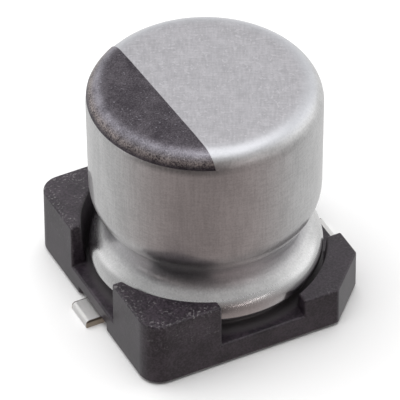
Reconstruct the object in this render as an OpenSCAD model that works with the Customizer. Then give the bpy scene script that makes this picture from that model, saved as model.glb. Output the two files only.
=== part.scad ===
// Surface-mount aluminium electrolytic capacitor: a drawn can with a rolled bead, on a moulded seat,
// with a wound element, a rubber bung and two flattened leads inside.
// Z = 0 is the soldering plane. The negative side, under the printed mark, is at -X.

/* [Can] */
// Diameter of the drawn can, by its shoulder
can_d = 5.02; // [4.8:0.02:5.16]
// Height of the can by itself, from its mouth to its top
can_h = 4.5; // [4.3:0.1:7]
// Thickness of the can's wall
can_wall = 0.2; // [0.14:0.01:0.21]
// How much narrower the wall's radius is at the bead than at the shoulder
neck_in = 0.03; // [0:0.01:0.06]
// How far in from the wall the flat top ends
crown_in = 0.8; // [0.6:0.05:1]
// How far the top's crowned edge drops to the shoulder
crown_drop = 0.04; // [0.02:0.01:0.06]
// Radius where the flat top meets its crowned edge
crown_r = 1.5; // [1:0.1:1.8]
// Radius of the shoulder
shoulder_r = 0.48; // [0.4:0.01:0.52]

/* [Bead and mouth] */
// Height above the mouth where the bead's two flanks would meet
bead_up = 0.855; // [0.84:0.005:0.89]
// Depth below the wall where the bead's two flanks would meet
bead_depth = 0.577; // [0.557:0.005:0.592]
// Radius of the bead's hollow
bead_r = 0.42; // [0.36:0.01:0.44]
// Height of the bead's upper flank
bead_rise = 0.675; // [0.66:0.005:0.72]
// Radius where the bead's upper flank meets the wall
flank_r = 1.1; // [0.9:0.05:1.15]
// Height above the mouth where the bulge's side and the bead's lower flank would meet
bulge_up = 0.336; // [0.316:0.01:0.346]
// Radius of the bulge's upper edge
bulge_edge_r = 0.4; // [0.32:0.01:0.42]
// How far the bulge stands out past the wall above the bead
bulge_out = 0.04; // [0.02:0.005:0.05]
// Radius of the outer edge at the mouth
mouth_r = 0.1; // [0.04:0.01:0.12]
// Width of the curled lip at the mouth
lip_w = 0.43; // [0.3:0.01:0.55]

/* [Mark] */
// Distance from the can's axis to the mark's straight edge
mark_x = 1.02; // [0.6:0.02:1.4]
// How far the mark runs down over the shoulder
mark_drop = 0.35; // [0.15:0.01:0.4]
// Thickness of the ink film
mark_t = 0.02; // [0.01:0.01:0.04]
// How far the can is turned on its seat, in degrees
can_turn = 2.5; // [-5:0.5:5]

/* [Base] */
// Width of the seat, both ways
base_w = 5.42; // [5.3:0.02:5.7]
// Thickness of the seat's plate
plate_t = 0.52; // [0.4:0.02:0.6]
// Height of the round seat for the can, above the underside
seat_h = 0.82; // [0.66:0.02:0.9]
// Radius of the round seat
seat_r = 2.2; // [1.9:0.05:2.4]
// Height of the two posts on the negative side, above the underside
tall_post_h = 1.59; // [1.2:0.01:1.8]
// Height of the two posts on the positive side, above the underside
low_post_h = 0.95; // [0.8:0.01:1.15]
// Width of the recess in the middle of the negative side and of the two sides between
recess_w = 1.96; // [1.6:0.02:2.3]
// Width of the recess in the middle of the positive side
plus_recess_w = 2.12; // [1.6:0.02:2.3]
// Gap between the can's bulge and the top of the low posts
well_gap = 0.085; // [0.06:0.005:0.12]
// How far the well's wall leans out for each millimetre of height
well_lean = 0.1; // [0:0.01:0.14]
// Radius of the two corners on the negative side
round_r = 0.47; // [0.3:0.01:0.6]
// Size of the two chamfered corners on the positive side
chamfer = 0.92; // [0.7:0.01:1]
// Bevel on the posts' top edges
post_edge = 0.05; // [0.02:0.01:0.08]
// Bevel on the plate's top edges
plate_edge = 0.1; // [0.04:0.01:0.14]

/* [Leads] */
// Distance between the two leads
lead_pitch = 1.7; // [1.5:0.05:2]
// Diameter of the lead wire
wire_d = 0.45; // [0.36:0.01:0.5]
// Width of the flattened lead
lead_w = 0.7; // [0.6:0.01:0.8]
// Thickness of the flattened lead
lead_t = 0.18; // [0.12:0.01:0.22]
// How far each terminal reaches past the seat's side
lead_reach = 0.32; // [0.2:0.01:0.4]
// How far the terminals stand below the seat's underside
lead_proud = 0.05; // [0.02:0.01:0.1]
// Inside radius of the lead's bend
bend_r = 0.12; // [0.08:0.01:0.14]
// Height of the stretch where the wire is flattened, above the soldering plane
flat_top = 0.6; // [0.5:0.01:0.64]
// Gap between the flattened lead and its slot and channel, at each side
lead_gap = 0.06; // [0.03:0.01:0.08]
// Gap between the flattened lead and the channel's roof
roof_gap = 0.04; // [0.02:0.01:0.06]
// Width of the channel's flared mouth
flare_w = 1.3; // [1:0.02:1.5]
// Length of the channel's flared mouth
flare_l = 0.35; // [0.2:0.01:0.5]

/* [Bung and tabs] */
// Height of the rubber bung
bung_h = 1.6; // [1.5:0.02:1.8]
// How far the bung stands out of the can's mouth
bung_proud = 0.03; // [0.01:0.01:0.06]
// Diameter of each tab's round boss
boss_d = 0.9; // [0.7:0.02:1]
// Height of the bung's narrow hole, under the boss
wire_hole_h = 0.45; // [0.3:0.01:0.6]
// How far the boss stands above the bung
boss_over = 0.06; // [0.02:0.01:0.1]
// Width of the tab's blade
blade_w = 0.9; // [0.6:0.02:1.1]
// Thickness of the tab's blade
blade_t = 0.12; // [0.08:0.01:0.16]
// How far the blade reaches into the winding
blade_in = 1.7; // [1:0.05:1.9]

/* [Winding] */
// Gap between the bung and the winding
wind_lift = 0.14; // [0.12:0.01:0.3]
// Gap between the winding and the can's top
wind_top_gap = 0.12; // [0.1:0.01:0.3]
// Gap between the tape and the can's wall
tape_gap = 0.05; // [0.03:0.01:0.1]
// Thickness of the tape
tape_t = 0.05; // [0.03:0.01:0.06]
// Width of the tape
tape_w = 1.1; // [0.6:0.05:1.6]
// Angle over which the tape's end lies on its start
tape_lap = 50; // [20:5:90]
// Diameter of the hollow left by the winding's mandrel
core_d = 0.5; // [0.3:0.02:0.7]
// Number of turns that show at the winding's ends
turns = 7; // [4:1:8]
// Width of the groove between two turns
turn_groove_w = 0.05; // [0.03:0.01:0.07]
// Depth of the groove between two turns
turn_groove_h = 0.1; // [0.05:0.01:0.15]
// Gap round the blade in the winding
blade_gap = 0.02; // [0.01:0.01:0.04]

/* [Hidden] */
$fn = 96;

arc_steps = 7;
turn_steps = 24;
cut = can_wall / 2;
tight_r = can_wall / 10;
half_w = base_w / 2;
plate_top = lead_proud + plate_t;
seat_top = lead_proud + seat_h;
mouth_z = seat_top + bung_proud;
top_z = mouth_z + can_h;
bung_top = seat_top + bung_h;
can_r = can_d / 2;
wall_r = can_r - neck_in;
bulge_r = wall_r + bulge_out;
lip_r = bulge_r - lip_w;
well_r = bulge_r + well_gap;
lead_x = lead_pitch / 2;
channel_w = lead_w + 2 * lead_gap;
channel_top = lead_t + roof_gap;
slot_l = wire_d + 2 * lead_gap;
boss_z = seat_top + wire_hole_h;
wind_z = bung_top + wind_lift;
wind_top = top_z - can_wall - wind_top_gap;
tape_r = wall_r - can_wall - tape_gap;
wind_r = tape_r - 2 * tape_t;

// Plain vector helpers for outlines in a plane
function unit(v) = v / norm(v);
function left_of(v) = [-v[1], v[0]];
function cross2(u, v) = u[0] * v[1] - u[1] * v[0];

// Corner b of the outline a, b, c, moved to the left of the way of travel by t
function mitre(a, b, c, t) =
    let (n1 = left_of(unit(b - a)), n2 = left_of(unit(c - b)))
    b + (n1 + n2) * t / (1 + n1 * n2);

// The arc of radius r that rounds corner b between a and c
function corner_arc(a, b, c, r) =
    let (u = unit(a - b), v = unit(c - b),
         half = acos(u * v) / 2,
         centre = b + unit(u + v) * r / sin(half),
         start = b + u * r / tan(half) - centre,
         sweep = (180 - 2 * half) * sign(cross2(-u, v)))
    [for (i = [0:arc_steps])
        let (g = sweep * i / arc_steps)
        centre + [start[0] * cos(g) - start[1] * sin(g), start[0] * sin(g) + start[1] * cos(g)]];

function xy(p) = [p[0], p[1]];

// Closed outline through corners [x, y, radius], each with a radius rounded
function rounded(p) =
    let (n = len(p))
    [for (i = [0:n - 1])
        let (a = xy(p[(i + n - 1) % n]), b = xy(p[i]), c = xy(p[(i + 1) % n]))
        each (p[i][2] > 0 ? corner_arc(a, b, c, p[i][2]) : [b])];

// The can's outer corners [radius, height above the mouth, rounding], from its top's centre to its mouth
outer = [
    [0, can_h, 0],
    [can_r - crown_in, can_h, crown_r],
    [can_r, can_h - crown_drop, shoulder_r],
    [wall_r, bead_up + bead_rise, flank_r],
    [wall_r - bead_depth, bead_up, bead_r],
    [bulge_r, bulge_up, bulge_edge_r],
    [bulge_r, 0, mouth_r],
    [lip_r, 0, 0]
];

// Corner i of the outer outline, moved into the metal by t, with its new rounding
function inward(i, t, r) =
    let (p = mitre(xy(outer[i - 1]), xy(outer[i]), xy(outer[i + 1]), -t))
    [p[0], p[1], r];

// The same corners on the inside of the wall. The bead's hollow gets wider there, the rest gets tighter,
// and the bulge's corner is all but sharp above the curled lip.
inner = [
    [0, can_h - can_wall, 0],
    inward(1, can_wall, crown_r - can_wall),
    inward(2, can_wall, max(shoulder_r - can_wall, tight_r)),
    inward(3, can_wall, flank_r - can_wall),
    inward(4, can_wall, bead_r + can_wall),
    inward(5, can_wall, tight_r),
    [bulge_r - can_wall, can_wall, 0]
];

module cavity() {
    translate([0, 0, mouth_z])
        rotate_extrude()
            polygon(rounded(concat(inner, [[0, can_wall, 0]])));
}

module can() {
    color("silver")
        difference() {
            translate([0, 0, mouth_z])
                rotate_extrude()
                    polygon(rounded(concat(outer, [[lip_r, can_wall, 0], [0, can_wall, 0]])));
            cavity();
        }
}

// The ink lies on the top and the shoulder, as a skin cut off along the mark's straight edge
module polarity_mark() {
    rim = inward(2, -mark_t, shoulder_r + mark_t);
    foot = can_h - crown_drop - 2 * shoulder_r - mark_drop;
    ink = [[0, can_h + mark_t, 0], inward(1, -mark_t, crown_r + mark_t), rim, [rim[0], foot, 0], [0, foot, 0]];
    color("dimgray")
        rotate([0, 0, can_turn])
            difference() {
                intersection() {
                    translate([0, 0, mouth_z])
                        rotate_extrude()
                            polygon(rounded(ink));
                    translate([-2 * can_r - mark_x, -can_r - cut, top_z - mark_drop])
                        cube([2 * can_r, 2 * (can_r + cut), mark_drop + cut]);
                }
                translate([0, 0, mouth_z])
                    rotate_extrude()
                        polygon(rounded(concat(outer, [[0, 0, 0]])));
            }
}

module at_leads() {
    for (side = [-1, 1])
        translate([side * lead_x, 0, 0])
            children();
}

module bung() {
    color("darkslategray")
        difference() {
            union() {
                intersection() {
                    cavity();
                    cylinder(h = bung_top, r = can_r);
                }
                translate([0, 0, seat_top])
                    cylinder(h = bung_proud + can_wall, r = lip_r);
            }
            at_leads() {
                translate([0, 0, boss_z])
                    cylinder(h = bung_h, d = boss_d);
                translate([0, 0, seat_top - cut])
                    cylinder(h = bung_h, d = wire_d);
            }
        }
}

// Plan of the seat: rounded corners on the negative side, chamfered ones on the positive side
function seat_plan(inset) =
    let (h = half_w - inset, c = chamfer - inset * (2 - sqrt(2)))
    rounded([
        [-h, -h, round_r - inset], [h - c, -h, 0], [h, c - h, 0],
        [h, h - c, 0], [h - c, h, 0], [-h, h, round_r - inset]
    ]);

// The seat's plan raised to height h, with its top edges bevelled by e
module block(h, e) {
    hull() {
        linear_extrude(h - e)
            polygon(seat_plan(0));
        linear_extrude(h)
            polygon(seat_plan(e));
    }
}

// The recess in the middle of the side at +X
module side_recess(w) {
    translate([0, -w / 2, plate_t])
        cube([base_w, w, 2 * tall_post_h]);
}

module half_space(side) {
    translate([side > 0 ? 0 : -base_w, -base_w, -cut])
        cube([base_w, 2 * base_w, 2 * tall_post_h]);
}

// Radius of the well at height h above the underside
function well_at(h) = well_r + well_lean * (h - low_post_h);

module posts() {
    difference() {
        union() {
            intersection() {
                block(tall_post_h, post_edge);
                half_space(-1);
            }
            intersection() {
                block(low_post_h, post_edge);
                half_space(1);
            }
        }
        side_recess(plus_recess_w);
        for (turn = [90, 180, 270])
            rotate([0, 0, turn])
                side_recess(recess_w);
        translate([0, 0, plate_t])
            cylinder(h = tall_post_h, r1 = well_at(plate_t), r2 = well_at(plate_t + tall_post_h));
    }
}

// A lead's way through the seat: the slot down to the underside, and the channel out to the side
module lead_way() {
    translate([lead_x - slot_l / 2, -channel_w / 2, -cut])
        cube([slot_l, channel_w, seat_h + 2 * cut]);
    translate([0, 0, -cut])
        linear_extrude(cut + channel_top - lead_proud)
            polygon([
                [lead_x, -channel_w / 2], [half_w - flare_l, -channel_w / 2],
                [half_w + flare_l, channel_w / 2 - flare_w], [half_w + flare_l, flare_w - channel_w / 2],
                [half_w - flare_l, channel_w / 2], [lead_x, channel_w / 2]
            ]);
}

module base() {
    color("#26262a")
        translate([0, 0, lead_proud])
            difference() {
                union() {
                    block(plate_t, plate_edge);
                    posts();
                    cylinder(h = seat_h, r = seat_r);
                }
                lead_way();
                mirror([1, 0, 0])
                    lead_way();
            }
}

// One lead at +X: the round wire, the stretch where it is flattened, and the bent ribbon
module lead() {
    inside = lead_x - lead_t / 2;
    outside = half_w + lead_reach;
    translate([lead_x, 0, seat_top])
        cylinder(h = boss_z - seat_top, d = wire_d);
    hull() {
        translate([lead_x, 0, seat_top - tight_r])
            cylinder(h = tight_r, d = wire_d, $fn = 32);
        translate([inside, -lead_w / 2, flat_top])
            cube([lead_t, lead_w, tight_r]);
    }
    translate([0, lead_w / 2, 0])
        rotate([90, 0, 0])
            linear_extrude(lead_w)
                polygon(rounded([
                    [inside, flat_top, 0], [inside, 0, bend_r + lead_t], [outside, 0, tight_r],
                    [outside, lead_t, lead_t / 2], [inside + lead_t, lead_t, bend_r], [inside + lead_t, flat_top, 0]
                ]));
}

module positive_lead() {
    color("gainsboro")
        lead();
}

module negative_lead() {
    color("gainsboro")
        mirror([1, 0, 0])
            lead();
}

// One tab at +X: the boss that the bung grips, and the blade that the winding holds
module tab() {
    translate([lead_x, 0, boss_z])
        cylinder(h = bung_top + boss_over - boss_z, d = boss_d);
    translate([lead_x - blade_t / 2, -blade_w / 2, bung_top])
        cube([blade_t, blade_w, wind_lift + blade_in]);
}

module positive_tab() {
    color("lightsteelblue")
        tab();
}

module negative_tab() {
    color("lightsteelblue")
        mirror([1, 0, 0])
            tab();
}

// Spiral groove of the given depth that marks the turns on an end face
module turn_groove() {
    steps = turn_steps * turns;
    pitch = (wind_r - core_d / 2 - turn_groove_w) / (turns + 1);
    edge = function (w) [
        for (i = [0:steps])
            let (g = 360 * turns * i / steps, r = core_d / 2 + w + pitch * (0.5 + g / 360))
            [r * cos(g), r * sin(g)]
    ];
    a = edge(0);
    b = edge(turn_groove_w);
    linear_extrude(turn_groove_h + cut)
        polygon(concat(a, [for (i = [steps:-1:0]) b[i]]));
}

module winding() {
    color("burlywood")
        difference() {
            translate([0, 0, wind_z])
                cylinder(h = wind_top - wind_z, r = wind_r);
            translate([0, 0, wind_z - cut])
                cylinder(h = wind_top - wind_z + 2 * cut, d = core_d);
            translate([0, 0, wind_z - cut])
                turn_groove();
            translate([0, 0, wind_top - turn_groove_h])
                turn_groove();
            at_leads()
                translate([-blade_t / 2 - blade_gap, -blade_w / 2 - blade_gap, wind_z - cut])
                    cube([blade_t + 2 * blade_gap, blade_w + 2 * blade_gap, cut + blade_in + blade_gap]);
        }
}

module winding_tape() {
    mid = (wind_z + wind_top) / 2;
    color("khaki")
        translate([0, 0, mid - tape_w / 2]) {
            rotate_extrude()
                translate([wind_r, 0])
                    square([tape_t, tape_w]);
            rotate_extrude(angle = tape_lap)
                translate([wind_r + tape_t / 2, 0])
                    square([tape_r - wind_r - tape_t / 2, tape_w]);
        }
}

base();
can();
polarity_mark();
bung();
winding();
winding_tape();
negative_tab();
positive_tab();
negative_lead();
positive_lead();
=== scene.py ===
"""Dresses a surface-mount electrolytic capacitor.

A drawn aluminium can with a printed polarity mark stands on a black moulded seat, with two flat tin-plated
terminals. Sizes are in millimetres until a mesh is made, which is in metres.
"""
import math

import bmesh
import bpy
from mathutils import Matrix, Vector


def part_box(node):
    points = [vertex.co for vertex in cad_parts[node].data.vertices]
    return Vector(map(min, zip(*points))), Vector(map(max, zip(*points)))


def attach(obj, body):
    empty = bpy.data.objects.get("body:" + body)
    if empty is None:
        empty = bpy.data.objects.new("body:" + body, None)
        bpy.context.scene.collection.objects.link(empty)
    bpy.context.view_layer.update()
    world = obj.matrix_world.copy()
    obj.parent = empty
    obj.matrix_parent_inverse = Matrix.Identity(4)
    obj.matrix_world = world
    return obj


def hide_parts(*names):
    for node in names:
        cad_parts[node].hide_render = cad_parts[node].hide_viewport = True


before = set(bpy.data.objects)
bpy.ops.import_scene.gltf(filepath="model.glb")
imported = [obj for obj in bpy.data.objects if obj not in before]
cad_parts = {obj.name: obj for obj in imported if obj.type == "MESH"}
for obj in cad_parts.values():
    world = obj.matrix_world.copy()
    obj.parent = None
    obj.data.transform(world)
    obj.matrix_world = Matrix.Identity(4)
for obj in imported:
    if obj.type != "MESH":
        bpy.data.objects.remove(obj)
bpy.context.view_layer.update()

MM = 0.001
ON_AXIS = 1e-6
ROOT = "root"


def node_box_mm(node):
    """Lowest and highest corner of a CAD node, in millimetres."""
    low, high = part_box(node)
    return low / MM, high / MM


can_low, can_high = node_box_mm("can")
seat_low, seat_high = node_box_mm("base")
lead_low, lead_high = node_box_mm("positive_lead")

# The can: its radii, its heights above the mouth and the rounding of its corners
CAN_H = can_high.z - can_low.z
MOUTH_Z = can_low.z
CAN_WALL = 0.2
SHOULDER_R = 2.51
SHOULDER_ROUND = 0.48
CROWN_IN = 0.8
CROWN_DROP = 0.04
CROWN_ROUND = 1.5
NECK_R = 2.48
NECK_UP = 1.53
NECK_ROUND = 1.1
BEAD_DEPTH = 0.577
BEAD_UP = 0.855
BEAD_ROUND = 0.42
BULGE_R = 2.52
BULGE_UP = 0.336
BULGE_ROUND = 0.4
CURL_ROUND = 0.1
LIP_W = 0.43
LEAST_ROUND = 0.02
TOP_RINGS = (0.5, 1.0, 1.5)
CAN_AROUND = 256
OUTER_STEPS = 12
INNER_STEPS = 6
SMOOTH_BELOW = math.radians(35)

# The mark: its straight edge from the can's axis, its height down the shoulder, its thickness and its turn
MARK_X = 1.02
MARK_DROP = 0.35
MARK_T = 0.02
MARK_TURN = math.radians(2.5)
MARK_AROUND = 384
MARK_CUT_WELD = 1e-6
INK_TOP = MOUTH_Z + CAN_H + MARK_T

# The seat. FAR and UNDER_ALL lie outside it, for cuts that go right through.
UNDERSIDE = seat_low.z
HALF_W = seat_high.y
TALL_POST_Z = seat_high.z
LOW_POST_Z = UNDERSIDE + 0.95
PLATE_Z = UNDERSIDE + 0.52
SEAT_DISC_Z = UNDERSIDE + 0.82
SEAT_DISC_R = 2.2
SEAT_DISC_ROOT = 0.1
RECESS_W = 1.96
WIDE_RECESS_W = 2.12
WELL_R = BULGE_R + 0.085
WELL_SLOPE = 0.1
ROUND_R = 0.47
CHAMFER = 0.92
PLAN_STEPS = 14
DISC_SIDES = 160
FAR = 2 * HALF_W
UNDER_ALL = -1
EDGE_ROUND = 0.05
EDGE_SEGMENTS = 4
EDGE_SHARP = math.radians(30)
WELD = 1e-4
CUT_WELD = 1e-5
FLAT_WITHIN = math.radians(0.5)

# The leads, and the slots and channels that they lie in
LEAD_X = 0.85
LEAD_W = lead_high.y - lead_low.y
LEAD_T = 0.18
WIRE_D = 0.45
LEAD_GAP = 0.06
CHANNEL_TOP = LEAD_T + 0.04
FLARE_W = 1.3
FLARE_L = 0.35

# The photograph's camera, fitted to the outlines of the can and the seat
IMAGE_PX = 400
FOCAL_PX = 5500
SENSOR_MM = 36
VIEW_AZIMUTH = -26.69
VIEW_ELEVATION = 40.85
VIEW_ROLL = -0.33
VIEW_DISTANCE = 116.8
VIEW_HEIGHT = 2.55
VIEW_RIGHT = -0.113
VIEW_UP = -0.304
CLIP_NEAR_M = 0.001
CLIP_FAR_M = 10


def make_camera():
    """Puts the camera where the photograph was taken from."""
    azimuth, elevation, roll = map(math.radians, (VIEW_AZIMUTH, VIEW_ELEVATION, VIEW_ROLL))
    back = Vector((
        math.sin(azimuth) * math.cos(elevation),
        -math.cos(azimuth) * math.cos(elevation),
        math.sin(elevation),
    ))
    right = Vector((math.cos(azimuth), math.sin(azimuth), 0))
    up = back.cross(right)
    aim = Vector((0, 0, VIEW_HEIGHT)) + right * VIEW_RIGHT + up * VIEW_UP
    rolled_right = right * math.cos(roll) + up * math.sin(roll)
    rolled_up = up * math.cos(roll) - right * math.sin(roll)
    turn = Matrix((rolled_right, rolled_up, back)).transposed()
    lens = bpy.data.cameras.new("camera")
    lens.sensor_width = SENSOR_MM
    lens.lens = FOCAL_PX * SENSOR_MM / IMAGE_PX
    lens.clip_start = CLIP_NEAR_M
    lens.clip_end = CLIP_FAR_M
    camera = bpy.data.objects.new("camera", lens)
    camera.matrix_world = Matrix.Translation((aim + back * VIEW_DISTANCE) * MM) @ turn.to_4x4()
    bpy.context.scene.collection.objects.link(camera)
    bpy.context.scene.camera = camera


make_camera()


def corner_arc(a, b, c, radius, steps):
    """Points of the arc that rounds corner b between a and c."""
    a, b, c = Vector(a), Vector(b), Vector(c)
    u, v = (a - b).normalized(), (c - b).normalized()
    half = u.angle(v) / 2
    centre = b + (u + v).normalized() * radius / math.sin(half)
    start = b + u * radius / math.tan(half) - centre
    turned = -u.x * v.y + u.y * v.x
    sweep = math.copysign(math.pi - 2 * half, turned)
    points = []
    for i in range(steps + 1):
        g = sweep * i / steps
        points.append(centre + Vector((
            start.x * math.cos(g) - start.y * math.sin(g),
            start.x * math.sin(g) + start.y * math.cos(g),
        )))
    return points


def rounded(corners, steps, closed=True):
    """Outline through corners (x, y, radius). The ends of an open outline stay sharp."""
    points = []
    count = len(corners)
    for i, (x, y, radius) in enumerate(corners):
        is_end = not closed and i in (0, count - 1)
        if radius > 0 and not is_end:
            points += corner_arc(corners[i - 1][:2], (x, y), corners[(i + 1) % count][:2], radius, steps)
        else:
            points.append(Vector((x, y)))
    return points


def shifted(corners, out):
    """The corners moved out of the metal by a distance, along the mitre of the two sides beside each."""
    moved = []
    for i, (x, y, radius) in enumerate(corners):
        if i in (0, len(corners) - 1):
            moved.append((x, y + out if i == 0 else y, radius))
            continue
        a, b, c = (Vector(corners[k][:2]) for k in (i - 1, i, i + 1))
        u, v = (b - a).normalized(), (c - b).normalized()
        n1, n2 = Vector((-u.y, u.x)), Vector((-v.y, v.x))
        p = b + (n1 + n2) * out / (1 + n1.dot(n2))
        grows = out if u.x * v.y - u.y * v.x < 0 else -out
        moved.append((p.x, p.y, max(radius + grows, LEAST_ROUND) if radius else 0))
    return moved


def raised(points, z):
    """Profile points moved up by z."""
    return [Vector((p.x, p.y + z)) for p in points]


def new_piece(name, mesh):
    """Makes an object of a mesh in millimetres, in the CAD frame, that rides on the part."""
    mesh.transform(Matrix.Scale(MM, 4))
    piece = bpy.data.objects.new(name, mesh)
    bpy.context.scene.collection.objects.link(piece)
    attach(piece, ROOT)
    return piece


def smooth(mesh):
    """Shades a mesh smooth, apart from its sharp edges."""
    mesh.shade_smooth()
    mesh.set_sharp_from_angle(angle=SMOOTH_BELOW)


def lathe(profile, around):
    """Closed mesh that a profile of (radius, height) sweeps round Z. Points on the axis become one vertex."""
    work = bmesh.new()
    rings = []
    for point in profile:
        if point.x < ON_AXIS:
            rings.append([work.verts.new((0, 0, point.y))])
            continue
        ring = []
        for i in range(around):
            g = 2 * math.pi * i / around
            ring.append(work.verts.new((point.x * math.cos(g), point.x * math.sin(g), point.y)))
        rings.append(ring)
    for a, b in zip(rings, rings[1:] + rings[:1]):
        for i in range(around):
            j = (i + 1) % around
            if len(a) == 1 and len(b) == 1:
                break
            if len(a) == 1:
                work.faces.new((a[0], b[i], b[j]))
            elif len(b) == 1:
                work.faces.new((a[i], b[0], a[j]))
            else:
                work.faces.new((a[i], b[i], b[j], a[j]))
    bmesh.ops.recalc_face_normals(work, faces=work.faces)
    mesh = bpy.data.meshes.new("lathe")
    work.to_mesh(mesh)
    work.free()
    return mesh


# The can's outer corners (radius, height above the mouth, rounding), from the top's centre to the mouth
CAN_TOP_CORNERS = [
    (0, CAN_H, 0),
    (SHOULDER_R - CROWN_IN, CAN_H, CROWN_ROUND),
    (SHOULDER_R, CAN_H - CROWN_DROP, SHOULDER_ROUND),
    (NECK_R, NECK_UP, NECK_ROUND),
]
CAN_FOOT_CORNERS = [
    (NECK_R - BEAD_DEPTH, BEAD_UP, BEAD_ROUND),
    (BULGE_R, BULGE_UP, BULGE_ROUND),
    (BULGE_R, 0, CURL_ROUND),
    (BULGE_R - LIP_W, 0, 0),
]
CAN_CORNERS = CAN_TOP_CORNERS + CAN_FOOT_CORNERS
BULGE_CORNER = CAN_CORNERS.index((BULGE_R, BULGE_UP, BULGE_ROUND))


def make_can():
    """The drawn can, thin-walled, with its bead, bulge and curled lip."""
    outside = rounded(CAN_CORNERS, OUTER_STEPS, closed=False)
    moved_in = shifted(CAN_CORNERS, -CAN_WALL)
    bulge_x, bulge_y = moved_in[BULGE_CORNER][:2]
    inner_corners = moved_in[:BULGE_CORNER] + [
        (bulge_x, bulge_y, LEAST_ROUND),
        (BULGE_R - CAN_WALL, CAN_WALL, 0),
        (BULGE_R - LIP_W, CAN_WALL, 0),
    ]
    inside = rounded(inner_corners, INNER_STEPS, closed=False)
    top_rings = [Vector((r, CAN_H)) for r in TOP_RINGS]
    profile = outside[:1] + top_rings + outside[1:] + inside[::-1]
    mesh = lathe(raised(profile, MOUTH_Z), CAN_AROUND)
    smooth(mesh)
    piece = new_piece("can_shell", mesh)
    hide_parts("can")
    return piece


def make_mark():
    """The ink film on the can's top and shoulder, cut along its straight edge."""
    corners = CAN_TOP_CORNERS + [(NECK_R, 0, 0)]
    film = rounded(shifted(corners, MARK_T), OUTER_STEPS, closed=False)
    metal = rounded(corners, OUTER_STEPS, closed=False)
    foot = CAN_H - MARK_DROP
    above = [p for p in film if p.y > foot]
    under = [p for p in metal if p.y > foot]
    mesh = lathe(raised(above + under[::-1], MOUTH_Z), MARK_AROUND)
    work = bmesh.new()
    work.from_mesh(mesh)
    outward = Matrix.Rotation(MARK_TURN, 3, "Z") @ Vector((-1, 0, 0))
    cut = bmesh.ops.bisect_plane(
        work, geom=work.verts[:] + work.edges[:] + work.faces[:], dist=MARK_CUT_WELD,
        plane_co=outward * MARK_X, plane_no=-outward, clear_outer=True,
    )
    rim = [g for g in cut["geom_cut"] if isinstance(g, bmesh.types.BMEdge)]
    bmesh.ops.holes_fill(work, edges=rim)
    bmesh.ops.recalc_face_normals(work, faces=work.faces)
    work.to_mesh(mesh)
    work.free()
    smooth(mesh)
    piece = new_piece("mark_film", mesh)
    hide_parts("polarity_mark")
    return piece


def prism(outline, low, high):
    """Mesh of a plan outline raised from low to high."""
    work = bmesh.new()
    face = work.faces.new([work.verts.new((p[0], p[1], low)) for p in outline])
    grown = bmesh.ops.extrude_face_region(work, geom=[face])
    verts = [g for g in grown["geom"] if isinstance(g, bmesh.types.BMVert)]
    bmesh.ops.translate(work, verts=verts, vec=(0, 0, high - low))
    bmesh.ops.recalc_face_normals(work, faces=work.faces)
    mesh = bpy.data.meshes.new("prism")
    work.to_mesh(mesh)
    work.free()
    return mesh


def plan_box(x0, x1, y0, y1):
    """Plan outline of a rectangle."""
    return [(x0, y0), (x1, y0), (x1, y1), (x0, y1)]


def disc(radius):
    """Plan outline of a circle."""
    turns = [2 * math.pi * i / DISC_SIDES for i in range(DISC_SIDES)]
    return [(radius * math.cos(g), radius * math.sin(g)) for g in turns]


def combine(target, mesh, operation):
    """Adds a mesh to the target object or cuts it away."""
    tool = bpy.data.objects.new("tool", mesh)
    bpy.context.scene.collection.objects.link(tool)
    step = target.modifiers.new("step", "BOOLEAN")
    step.operation = operation
    step.solver = "EXACT"
    step.object = tool
    bpy.context.view_layer.update()
    result = bpy.data.meshes.new_from_object(target.evaluated_get(bpy.context.evaluated_depsgraph_get()))
    target.modifiers.clear()
    target.data = result
    bpy.data.objects.remove(tool)


def cut_well(body):
    """Cuts the round well for the can, wider towards its top."""
    foot_r = WELL_R - (LOW_POST_Z - PLATE_Z) * WELL_SLOPE
    well = prism(disc(1), PLATE_Z, FAR)
    for v in well.vertices:
        radius = foot_r + (v.co.z - PLATE_Z) * WELL_SLOPE
        v.co.x *= radius
        v.co.y *= radius
    combine(body, well, "DIFFERENCE")


def cut_lead_way(body, side):
    """Cuts the slot that one lead comes down through and the flared channel that it leaves by."""
    half_channel = LEAD_W / 2 + LEAD_GAP
    half_slot = WIRE_D / 2 + LEAD_GAP
    slot = plan_box(side * LEAD_X - half_slot, side * LEAD_X + half_slot, -half_channel, half_channel)
    combine(body, prism(slot, UNDER_ALL, FAR), "DIFFERENCE")
    half_flare = FLARE_W - half_channel
    channel = [
        (side * LEAD_X, -half_channel), (side * (HALF_W - FLARE_L), -half_channel),
        (side * (HALF_W + FLARE_L), -half_flare), (side * (HALF_W + FLARE_L), half_flare),
        (side * (HALF_W - FLARE_L), half_channel), (side * LEAD_X, half_channel),
    ]
    combine(body, prism(channel, UNDER_ALL, CHANNEL_TOP), "DIFFERENCE")


def clean_faces(mesh):
    """Joins faces that lie flat together, but keeps the wide ones split across the middle.

    Blender divides a wide face with many corners badly into triangles, so it is cut along three planes first.
    """
    work = bmesh.new()
    work.from_mesh(mesh)
    bmesh.ops.remove_doubles(work, verts=work.verts, dist=WELD)
    for across in ((1, 1, 0), (1, -1, 0), (0, 1, 0)):
        every = work.verts[:] + work.edges[:] + work.faces[:]
        cut = bmesh.ops.bisect_plane(work, geom=every, dist=CUT_WELD, plane_co=(0, 0, 0), plane_no=across)
        for part in cut["geom_cut"]:
            if isinstance(part, bmesh.types.BMEdge):
                part.seam = True
    bmesh.ops.dissolve_limit(
        work, angle_limit=FLAT_WITHIN, verts=work.verts, edges=work.edges, delimit={"SEAM"},
    )
    work.to_mesh(mesh)
    work.free()


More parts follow.
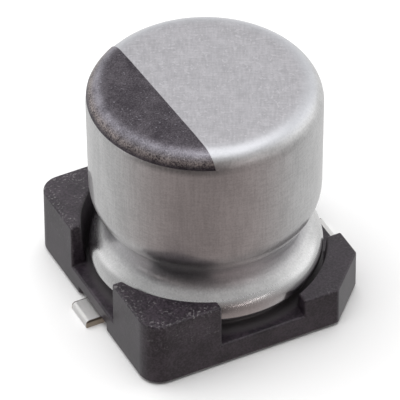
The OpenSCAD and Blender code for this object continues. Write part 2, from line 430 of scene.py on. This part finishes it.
def make_seat():
    """The moulded seat: plate, four posts round a well, side recesses, lead slots and channels."""
    plan = rounded([
        (-HALF_W, -HALF_W, ROUND_R), (HALF_W - CHAMFER, -HALF_W, 0), (HALF_W, CHAMFER - HALF_W, 0),
        (HALF_W, HALF_W - CHAMFER, 0), (HALF_W - CHAMFER, HALF_W, 0), (-HALF_W, HALF_W, ROUND_R),
    ], PLAN_STEPS)
    body = bpy.data.objects.new("seat_work", prism(plan, UNDERSIDE, TALL_POST_Z))
    bpy.context.scene.collection.objects.link(body)
    half_recess = RECESS_W / 2
    half_wide = WIDE_RECESS_W / 2
    for outline, floor in (
        (plan_box(0, FAR, -FAR, FAR), LOW_POST_Z),
        (plan_box(-FAR, 0, -half_recess, half_recess), PLATE_Z),
        (plan_box(0, FAR, -half_wide, half_wide), PLATE_Z),
        (plan_box(-half_recess, half_recess, -FAR, FAR), PLATE_Z),
    ):
        combine(body, prism(outline, floor, FAR), "DIFFERENCE")
    cut_well(body)
    combine(body, prism(disc(SEAT_DISC_R), PLATE_Z - SEAT_DISC_ROOT, SEAT_DISC_Z), "UNION")
    for side in (-1, 1):
        cut_lead_way(body, side)
    mesh = body.data
    bpy.data.objects.remove(body)
    clean_faces(mesh)
    piece = new_piece("seat", mesh)
    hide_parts("base")
    edges = piece.modifiers.new("edges", "BEVEL")
    edges.width = EDGE_ROUND * MM
    edges.segments = EDGE_SEGMENTS
    edges.limit_method = "ANGLE"
    edges.angle_limit = EDGE_SHARP
    edges.use_clamp_overlap = False
    edges.harden_normals = True
    return piece


can_shell = make_can()
mark_film = make_mark()
seat = make_seat()


class Value:
    """A node's output that takes part in arithmetic: each operator adds one Math node."""

    def __init__(self, maker, socket):
        self.maker, self.socket = maker, socket

    def join(self, operation, first, second):
        return self.maker.node("ShaderNodeMath", {"operation": operation}, {0: first, 1: second})

    def __add__(self, other):
        return self.join("ADD", self, other)

    def __radd__(self, other):
        return self.join("ADD", other, self)

    def __sub__(self, other):
        return self.join("SUBTRACT", self, other)

    def __rsub__(self, other):
        return self.join("SUBTRACT", other, self)

    def __mul__(self, other):
        return self.join("MULTIPLY", self, other)

    def __rmul__(self, other):
        return self.join("MULTIPLY", other, self)

    def __pow__(self, other):
        return self.join("POWER", self, other)

    def or_more(self, other):
        """The larger of two values."""
        return self.join("MAXIMUM", self, other)


class Tree:
    """A node tree that values are worked out in."""

    def __init__(self, tree):
        self.tree = tree

    def node(self, kind, settings=None, sockets=None, output=0):
        """Adds a node with its settings and the values or links of its sockets, and gives one output."""
        made = self.tree.nodes.new(kind)
        for key, value in (settings or {}).items():
            setattr(made, key, value)
        for key, value in (sockets or {}).items():
            self.feed(made.inputs[key], value)
        return Value(self, made.outputs[output])

    def feed(self, socket, value):
        """Links a value to a socket, or sets the socket to a plain number or colour."""
        if isinstance(value, Value):
            self.tree.links.new(value.socket, socket)
        else:
            socket.default_value = value

    def ramp(self, value, start, end):
        """0 at start, 1 at end and smooth between."""
        return self.node(
            "ShaderNodeMapRange", {"interpolation_type": "SMOOTHSTEP"},
            {"Value": value, "From Min": start, "From Max": end},
        )

    def mix(self, share, first, second):
        """A colour between two colours, by a share."""
        return self.node("ShaderNodeMix", {"data_type": "RGBA"}, {0: share, 6: first, 7: second}, 2)


class Paint(Tree):
    """One procedural material: a Principled shader and the nodes that feed it."""

    def __init__(self, name, **uniform):
        self.material = bpy.data.materials.new(name)
        self.material.use_nodes = True
        super().__init__(self.material.node_tree)
        self.shader = next(n for n in self.tree.nodes if n.type == "BSDF_PRINCIPLED")
        self.drive(**uniform)

    def drive(self, **sockets):
        """Sets or links the shader's own sockets."""
        for name, value in sockets.items():
            self.feed(self.shader.inputs[name.replace("_", " ")], value)

    def place(self):
        """The point on the object, in metres."""
        return self.node("ShaderNodeTexCoord", output="Object")

    def axis(self, name):
        """One coordinate of the point, in metres."""
        return self.node("ShaderNodeSeparateXYZ", None, {0: self.place()}, "XYZ".index(name))

    def zone(self, length, start_mm, end_mm):
        """0 where a length is start_mm, 1 where it is end_mm and smooth between."""
        return self.ramp(length, start_mm * MM, end_mm * MM)

    def grain(self, size_mm, stretch=(1, 1, 1), detail=3, rough=0.55, turn=0.0):
        """Noise about 0.5 whose features are size_mm across, turned about Z, then drawn out by stretch."""
        placed = self.node(
            "ShaderNodeMapping", {"vector_type": "TEXTURE"},
            {
                "Vector": self.place(), "Rotation": (0, 0, turn),
                "Scale": tuple(size_mm * MM * s for s in stretch),
            },
        )
        return self.node(
            "ShaderNodeTexNoise", None,
            {"Vector": placed, "Scale": 1.0, "Detail": detail, "Roughness": rough}, "Fac",
        )

    def bump(self, height, depth_mm):
        """A normal that a height from 0 to 1 tilts, as if the surface were depth_mm deep."""
        return self.node(
            "ShaderNodeBump", None, {"Height": height, "Strength": 1.0, "Distance": depth_mm * MM},
        )


def grey(level, warmth=0.0):
    """A linear grey, warmer or cooler."""
    return (level * (1 + warmth), level, level * (1 - warmth), 1)


# The can's colours, and the zones of its finish, each from where it starts to where it is full. The cool tint
# round the shoulder is a painted reflection.
SIDE_DARK = grey(0.68)
SIDE_LIGHT = grey(0.93)
SHOULDER_COOL_REFLECTION = (0.81, 0.83, 0.90, 1)
TOP_DARK = (0.56, 0.55, 0.58, 1)
TOP_LIGHT = (0.75, 0.735, 0.77, 1)
PRESSED_TOP = (SHOULDER_R - 0.2, SHOULDER_R - 0.6)
COOL_REFLECTION_ZONE = (INK_TOP - 0.24, INK_TOP - 0.08)
BEAD_ZONE = (MOUTH_Z + 1.5, MOUTH_Z + 1.1)
ROLLED_ZONE = (MOUTH_Z + 0.60, MOUTH_Z + 0.43)
SHEET_TURN = math.radians(-27)


def can_finish():
    """Satin aluminium under a thin clear coat.

    The side has fine draw lines, fainter hoops and blotches, and is burnished at the rolled foot; its
    shoulder has a painted cool reflection tint. The top has a matte crossed grain with light dots painted in
    as glints, along the rolling direction of the sheet.
    """
    paint = Paint("can_satin_aluminium", Metallic=1.0, Coat_Weight=0.8, Coat_Roughness=0.07, Coat_IOR=1.6)
    x, y, z = (paint.axis(a) for a in "XYZ")
    top = paint.zone((x * x + y * y) ** 0.5, *PRESSED_TOP)
    # A cool tint painted round the shoulder: a painted reflection
    cool_reflection = paint.zone(z, *COOL_REFLECTION_ZONE)
    bead = paint.zone(z, *BEAD_ZONE)
    rolled = paint.zone(z, *ROLLED_ZONE)
    plain = 1 - rolled * 0.6

    lines = paint.grain(size_mm=0.045, stretch=(1, 1, 14), detail=4)
    hoops = paint.grain(size_mm=0.045, stretch=(7, 7, 1))
    weave = paint.grain(size_mm=0.04, detail=2)
    blotches = paint.grain(size_mm=0.35, stretch=(1, 1, 3), detail=4)
    drawn = paint.ramp(lines * 0.25 + hoops * 0.2 + weave * 0.3 + blotches * 0.25, 0.36, 0.64)
    side = paint.mix(drawn * plain + rolled * 0.3, SIDE_DARK, SIDE_LIGHT)
    side_and_cool_reflection = paint.mix(cool_reflection * 0.6, side, SHOULDER_COOL_REFLECTION)
    rough_side = lines * plain * 0.2 + 0.3 + bead * 0.06 - rolled * 0.16
    high_side = (lines * 0.5 + weave * 0.5) * (1 - rolled)

    along = paint.grain(size_mm=0.05, stretch=(5, 1, 1), turn=SHEET_TURN)
    across = paint.grain(size_mm=0.05, stretch=(1, 6, 1), turn=SHEET_TURN)
    mottle = paint.grain(size_mm=0.28, detail=4, rough=0.65)
    # Light dots painted into the top's colour as painted glints
    painted_glint_dots = paint.ramp(paint.grain(size_mm=0.08, detail=1), 0.63, 0.70)
    pressed = paint.ramp(along * 0.26 + across * 0.28 + weave * 0.16 + mottle * 0.3, 0.35, 0.65)
    face = paint.mix(pressed + painted_glint_dots * 0.8, TOP_DARK, TOP_LIGHT)
    rough_top = mottle * 0.2 + 0.42
    high_top = along * 0.5 + across * 0.5

    height = high_side * (1 - top) + high_top * top
    paint.drive(
        Base_Color=paint.mix(top, side_and_cool_reflection, face),
        Roughness=rough_side * (1 - top) + rough_top * top,
        Normal=paint.bump(height, depth_mm=0.004),
    )
    return paint.material


# The ink's colours, the metal's where it shows through, with a brownish tint below that is a painted
# reflection, and the zones down the shoulder
INK_DARK = (0.055, 0.047, 0.058, 1)
INK_LIGHT = (0.157, 0.141, 0.160, 1)
METAL_COOL = (0.57, 0.55, 0.62, 1)
METAL_BROWN_REFLECTION = (0.60, 0.52, 0.49, 1)
THIN_ZONE = (INK_TOP - 0.01, INK_TOP - 0.08)
BROWN_REFLECTION_AND_PITS_ZONE = (INK_TOP - 0.08, INK_TOP - 0.22)
FOOT_ZONE = (INK_TOP - 0.20, INK_TOP - 0.32)


def ink_finish():
    """Charcoal ink, half gloss and finely pitted.

    It is thinner on the shoulder, where the metal greys it: cool and smooth above, pitted below, where a
    brownish tint is a painted reflection.
    """
    paint = Paint("mark_charcoal_ink", Metallic=0.85)
    pits = paint.grain(size_mm=0.035, detail=2, rough=0.7)
    cloud = paint.grain(size_mm=0.35)
    freckles = paint.ramp(paint.grain(size_mm=0.05, detail=1), 0.67, 0.74)
    z = paint.axis("Z")
    # Lower down the shoulder: more pits, and a brownish tint that is a painted reflection
    brown_reflection_and_pits = paint.zone(z, *BROWN_REFLECTION_AND_PITS_ZONE)
    shoulder = paint.zone(z, *THIN_ZONE) * (1 - paint.zone(z, *FOOT_ZONE))
    pitted = paint.ramp(pits, 0.25, 0.75) - 0.5
    thin = shoulder * (pitted * (brown_reflection_and_pits * 0.75 + 0.35) + cloud * 0.9 + 0.07)
    # The brownish metal colour is a painted reflection
    metal = paint.mix(brown_reflection_and_pits, METAL_COOL, METAL_BROWN_REFLECTION)
    ink = paint.mix(paint.ramp(pits * 0.6 + cloud * 0.4, 0.34, 0.66), INK_DARK, INK_LIGHT)
    paint.drive(
        Base_Color=paint.mix(thin * 0.8 + freckles * 0.34, ink, metal),
        Roughness=cloud * 0.2 + 0.22,
        Normal=paint.bump(pits, depth_mm=0.008),
    )
    return paint.material


# The plastic's colours, how far down and in from its edges it is rubbed, and where it is painted lighter in
# the shade under the can, as painted fill light
PLASTIC_DARK = (0.012, 0.0085, 0.013, 1)
PLASTIC_LIGHT = (0.049, 0.0365, 0.049, 1)
PLASTIC_RUBBED = (0.17, 0.16, 0.165, 1)
PLASTIC_PAINTED_FILL = (0.10, 0.092, 0.097, 1)
TALL_RUBBED = (TALL_POST_Z - 0.07, TALL_POST_Z - 0.01)
LOW_RUBBED = (LOW_POST_Z - 0.07, LOW_POST_Z - 0.01)
OUTER_RUBBED = (HALF_W - 0.3, HALF_W - 0.03)
PAINTED_FILL_UNDER_CAN = (WELL_R + 0.02, WELL_R - 0.2)


def seat_finish():
    """Near-black moulded plastic with a fine matte grain, greyed in flecks where its top edges are rubbed. It
    is painted lighter in the shade under the can, as painted fill light.
    """
    paint = Paint("seat_black_plastic", IOR=1.5, Coat_Roughness=0.3, Coat_Weight=0.45)
    grain = paint.grain(size_mm=0.05, detail=4)
    cloud = paint.grain(size_mm=0.5)
    flecks = paint.ramp(paint.grain(size_mm=0.055), 0.54, 0.66)
    patches = paint.ramp(paint.grain(size_mm=0.3, detail=2), 0.45, 0.60)
    x, y, z = (paint.axis(a) for a in "XYZ")
    tall = paint.zone(z, *TALL_RUBBED)
    low = paint.zone(z, *LOW_RUBBED)
    outer = paint.zone((x * x).or_more(y * y) ** 0.5, *OUTER_RUBBED)
    # Painted fill light: the plastic is painted lighter in the shade under the can's rim
    painted_fill = paint.zone((x * x + y * y) ** 0.5, *PAINTED_FILL_UNDER_CAN)
    moulded = paint.mix(paint.ramp(cloud * 0.3 + grain * 0.7, 0.37, 0.63), PLASTIC_DARK, PLASTIC_LIGHT)
    rubbing = flecks * (patches * 0.6 + outer * 0.5) * (tall * 0.8 + low * 0.35)
    rubbed = paint.mix(rubbing, moulded, PLASTIC_RUBBED)
    paint.drive(
        # The lighter colour under the can is painted fill light in its shade
        Base_Color=paint.mix(painted_fill, rubbed, PLASTIC_PAINTED_FILL),
        Roughness=grain * 0.3 + 0.37,
        Normal=paint.bump(grain, depth_mm=0.006),
    )
    return paint.material


# The tin's colours, its core's on the cut sides, and how far in the cut and its dark rim reach
TIN_DARK = grey(0.78, 0.01)
TIN_LIGHT = grey(0.96, 0.01)
CORE_DARK = (0.40, 0.34, 0.27, 1)
CORE_LIGHT = (0.56, 0.50, 0.41, 1)
CORE_RIM = (0.08, 0.065, 0.05, 1)
CUT_SIDE = (LEAD_W / 2 - 0.03, LEAD_W / 2 - 0.01)
CUT_RIM = (LEAD_T - 0.07, LEAD_T - 0.03)


def tin_finish():
    """Bright, part matte tin plate. Its cut sides show the brownish core under a dark rim."""
    paint = Paint("lead_tin_plate")
    lines = paint.grain(size_mm=0.04, stretch=(1, 12, 1))
    cloud = paint.grain(size_mm=0.12)
    y, z = paint.axis("Y"), paint.axis("Z")
    side = paint.zone((y * y) ** 0.5, *CUT_SIDE)
    rim = paint.zone(z, *CUT_RIM)
    plate = paint.mix(lines * 0.5 + cloud * 0.5, TIN_DARK, TIN_LIGHT)
    cut = paint.mix(rim, paint.mix(cloud, CORE_DARK, CORE_LIGHT), CORE_RIM)
    paint.drive(
        Base_Color=paint.mix(side, plate, cut),
        Metallic=0.75 - side * 0.15,
        Roughness=lines * 0.15 + 0.34,
        Normal=paint.bump(lines, depth_mm=0.003),
    )
    return paint.material


INNER_GRAIN = 0.1


def inner_finish(name, dark, light, rough, metal=0.0):
    """A finish for a piece inside: two colours mixed by a fine grain."""
    paint = Paint(name, Metallic=metal)
    grain = paint.grain(INNER_GRAIN)
    paint.drive(Base_Color=paint.mix(grain, dark, light), Roughness=grain * 0.2 + rough)
    return paint.material


def wear(piece, material):
    """Gives a piece one material."""
    piece.data.materials.clear()
    piece.data.materials.append(material)


tin = tin_finish()
wear(can_shell, can_finish())
wear(mark_film, ink_finish())
wear(seat, seat_finish())
rubber = inner_finish("bung_black_rubber", grey(0.015), grey(0.03), 0.6)
paper = inner_finish("winding_soaked_paper", (0.30, 0.22, 0.13, 1), (0.44, 0.35, 0.22, 1), 0.6)
film = inner_finish("tape_amber_film", (0.45, 0.30, 0.08, 1), (0.60, 0.45, 0.16, 1), 0.25)
foil = inner_finish("tab_pressed_aluminium", grey(0.6), grey(0.75), 0.3, metal=1.0)
for node, material in (
    ("negative_lead", tin),
    ("positive_lead", tin),
    ("bung", rubber),
    ("winding", paper),
    ("winding_tape", film),
    ("negative_tab", foil),
    ("positive_tab", foil),
):
    wear(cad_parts[node], material)


FLOOR_HALF = 400
FLOOR_T = 1
FLOOR_CLOUD = 40


def make_floor():
    """A wide pale floor under the soldering plane. The metal doesn't mirror it."""
    mesh = prism(plan_box(-FLOOR_HALF, FLOOR_HALF, -FLOOR_HALF, FLOOR_HALF), -FLOOR_T, 0)
    mesh.transform(Matrix.Scale(MM, 4))
    floor = bpy.data.objects.new("floor", mesh)
    bpy.context.scene.collection.objects.link(floor)
    paint = Paint("floor_white", Roughness=0.9)
    paint.drive(Base_Color=paint.mix(paint.grain(FLOOR_CLOUD), grey(0.93), grey(0.95)))
    wear(floor, paint.material)
    floor.visible_glossy = False


FILL_PLACE = (-30, 20, 120)
FILL_AIM = (0, 0, 2.5)
FILL_SIZE = 160
FILL_POWER = 0.15


def make_fill_light():
    """A soft square light above the part. It lights the surfaces and isn't seen in them."""
    lamp = bpy.data.lights.new("fill", "AREA")
    lamp.size = FILL_SIZE * MM
    lamp.energy = FILL_POWER
    light = bpy.data.objects.new("fill", lamp)
    light.location = Vector(FILL_PLACE) * MM
    aim = Vector(FILL_AIM) * MM - light.location
    light.rotation_euler = aim.to_track_quat("-Z", "Y").to_euler()
    light.visible_glossy = False
    bpy.context.scene.collection.objects.link(light)


def studio_direction(turn, lift):
    """Unit vector at an angle to the right of the photographer's side and at a height, both in degrees."""
    g = math.radians(VIEW_AZIMUTH + turn)
    e = math.radians(lift)
    return Vector((math.sin(g) * math.cos(e), -math.cos(g) * math.cos(e), math.sin(e)))


STUDIO_BASE = 0.46
STUDIO_SLOPE = 0.29
WHITE = (1, 1, 1, 1)
WARM_TABLE = (1, 0.85, 0.83, 1)
TABLE_LIFT = -20
TABLE_WARMS = (0.1, 0.85)
# Each patch of the studio: its angle to the right, its height, its inner and outer radius, and its brightness
STUDIO_PATCHES = [
    (-48, 4, 16, 38, 0.05),
    (-10, 2, 16, 38, 0.05),
    (58, 26, 8, 26, 0.42),
    (106, 32, 6, 38, 0.72),
    (112, 24, 12, 26, 1.02),
    (80, -16, 4, 16, 0.25),
    (60, -75, 14, 28, 0.22),
    (180, 40, 12, 34, 0.56),
    (150, 84, 16, 40, 1.25),
    (-65, 58, 4, 20, 0.45),
    (-119, 28, 4, 28, 0.9),
    (-70, -4, 2, 9, 1.3),
    (-48, 6, 2, 7, 1.3),
    (-30, 12, 2, 6, 0.7),
    (30, 16, 0.8, 2.4, 4.0),
    (38, 19, 0.8, 2.4, 4.0),
    (46, 22, 0.8, 2.4, 4.0),
    (54, 25, 0.8, 2.4, 4.0),
    (-28, 28, 0.8, 2.4, 6.0),
]


def make_surround():
    """The light tent: pale behind and at the sides, bright overhead, and dark at the photographer's side."""
    world = bpy.data.worlds.new("surround")
    world.use_nodes = True
    bpy.context.scene.world = world
    tent = Tree(world.node_tree)
    sky = next(n for n in world.node_tree.nodes if n.type == "BACKGROUND")
    direction = tent.node("ShaderNodeTexCoord", output="Generated")

    def towards(turn, lift):
        """Cosine of the angle between the ray's direction and a direction in the studio."""
        vector = studio_direction(turn, lift)
        return tent.node(
            "ShaderNodeVectorMath", {"operation": "DOT_PRODUCT"}, {0: direction, 1: vector}, "Value",
        )

    light = STUDIO_BASE - towards(0, 0) * STUDIO_SLOPE
    for turn, lift, inner, outer, level in STUDIO_PATCHES:
        start, end = math.cos(math.radians(outer)), math.cos(math.radians(inner))
        share = tent.ramp(towards(turn, lift), start, end)
        light = light + share * (level - light)
    front = tent.ramp(towards(0, TABLE_LIFT), *TABLE_WARMS)
    tent.feed(sky.inputs["Color"], tent.mix(front, WHITE, WARM_TABLE))
    tent.feed(sky.inputs["Strength"], light)


make_floor()
make_surround()
make_fill_light()
bpy.context.scene.view_settings.view_transform = "Standard"
